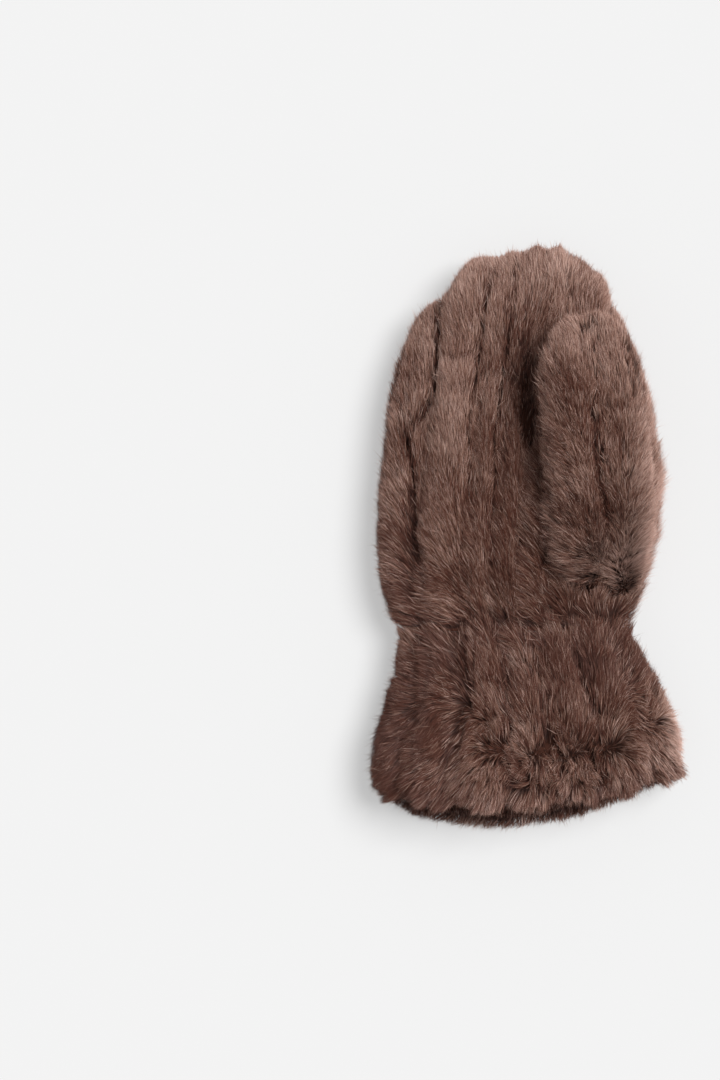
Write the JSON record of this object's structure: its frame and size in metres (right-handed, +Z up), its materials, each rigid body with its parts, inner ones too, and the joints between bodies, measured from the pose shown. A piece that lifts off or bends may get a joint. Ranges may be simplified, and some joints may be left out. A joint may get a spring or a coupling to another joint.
{
  "type": "fur mitten",
  "caption": "Right-hand mitten of brown fur lying palm up, thumb folded on the palm, with a flared cuff below a gathered wrist.",
  "frame": {"origin": "middle of the outline seen from above, on the table that the mitten lies on", "axes": "+X towards the thumb's side, +Y towards the fingertips, +Z up, out of the palm"},
  "size_m": [0.1502, 0.277, 0.0664],
  "materials": {
    "hand_fur": "deep soft fur, matte with a faint sheen on the tips",
    "cuff_fur": "deep soft fur, matte with a faint sheen on the tips",
    "hem_fur": "short dense fur, matte"
  },
  "bodies": {
    "root": {"palm_panel": "hand_fur", "back_panel": "hand_fur", "thumb": "hand_fur", "cuff": "cuff_fur", "cuff_hem": "hem_fur"}
  },
  "joints": []
}
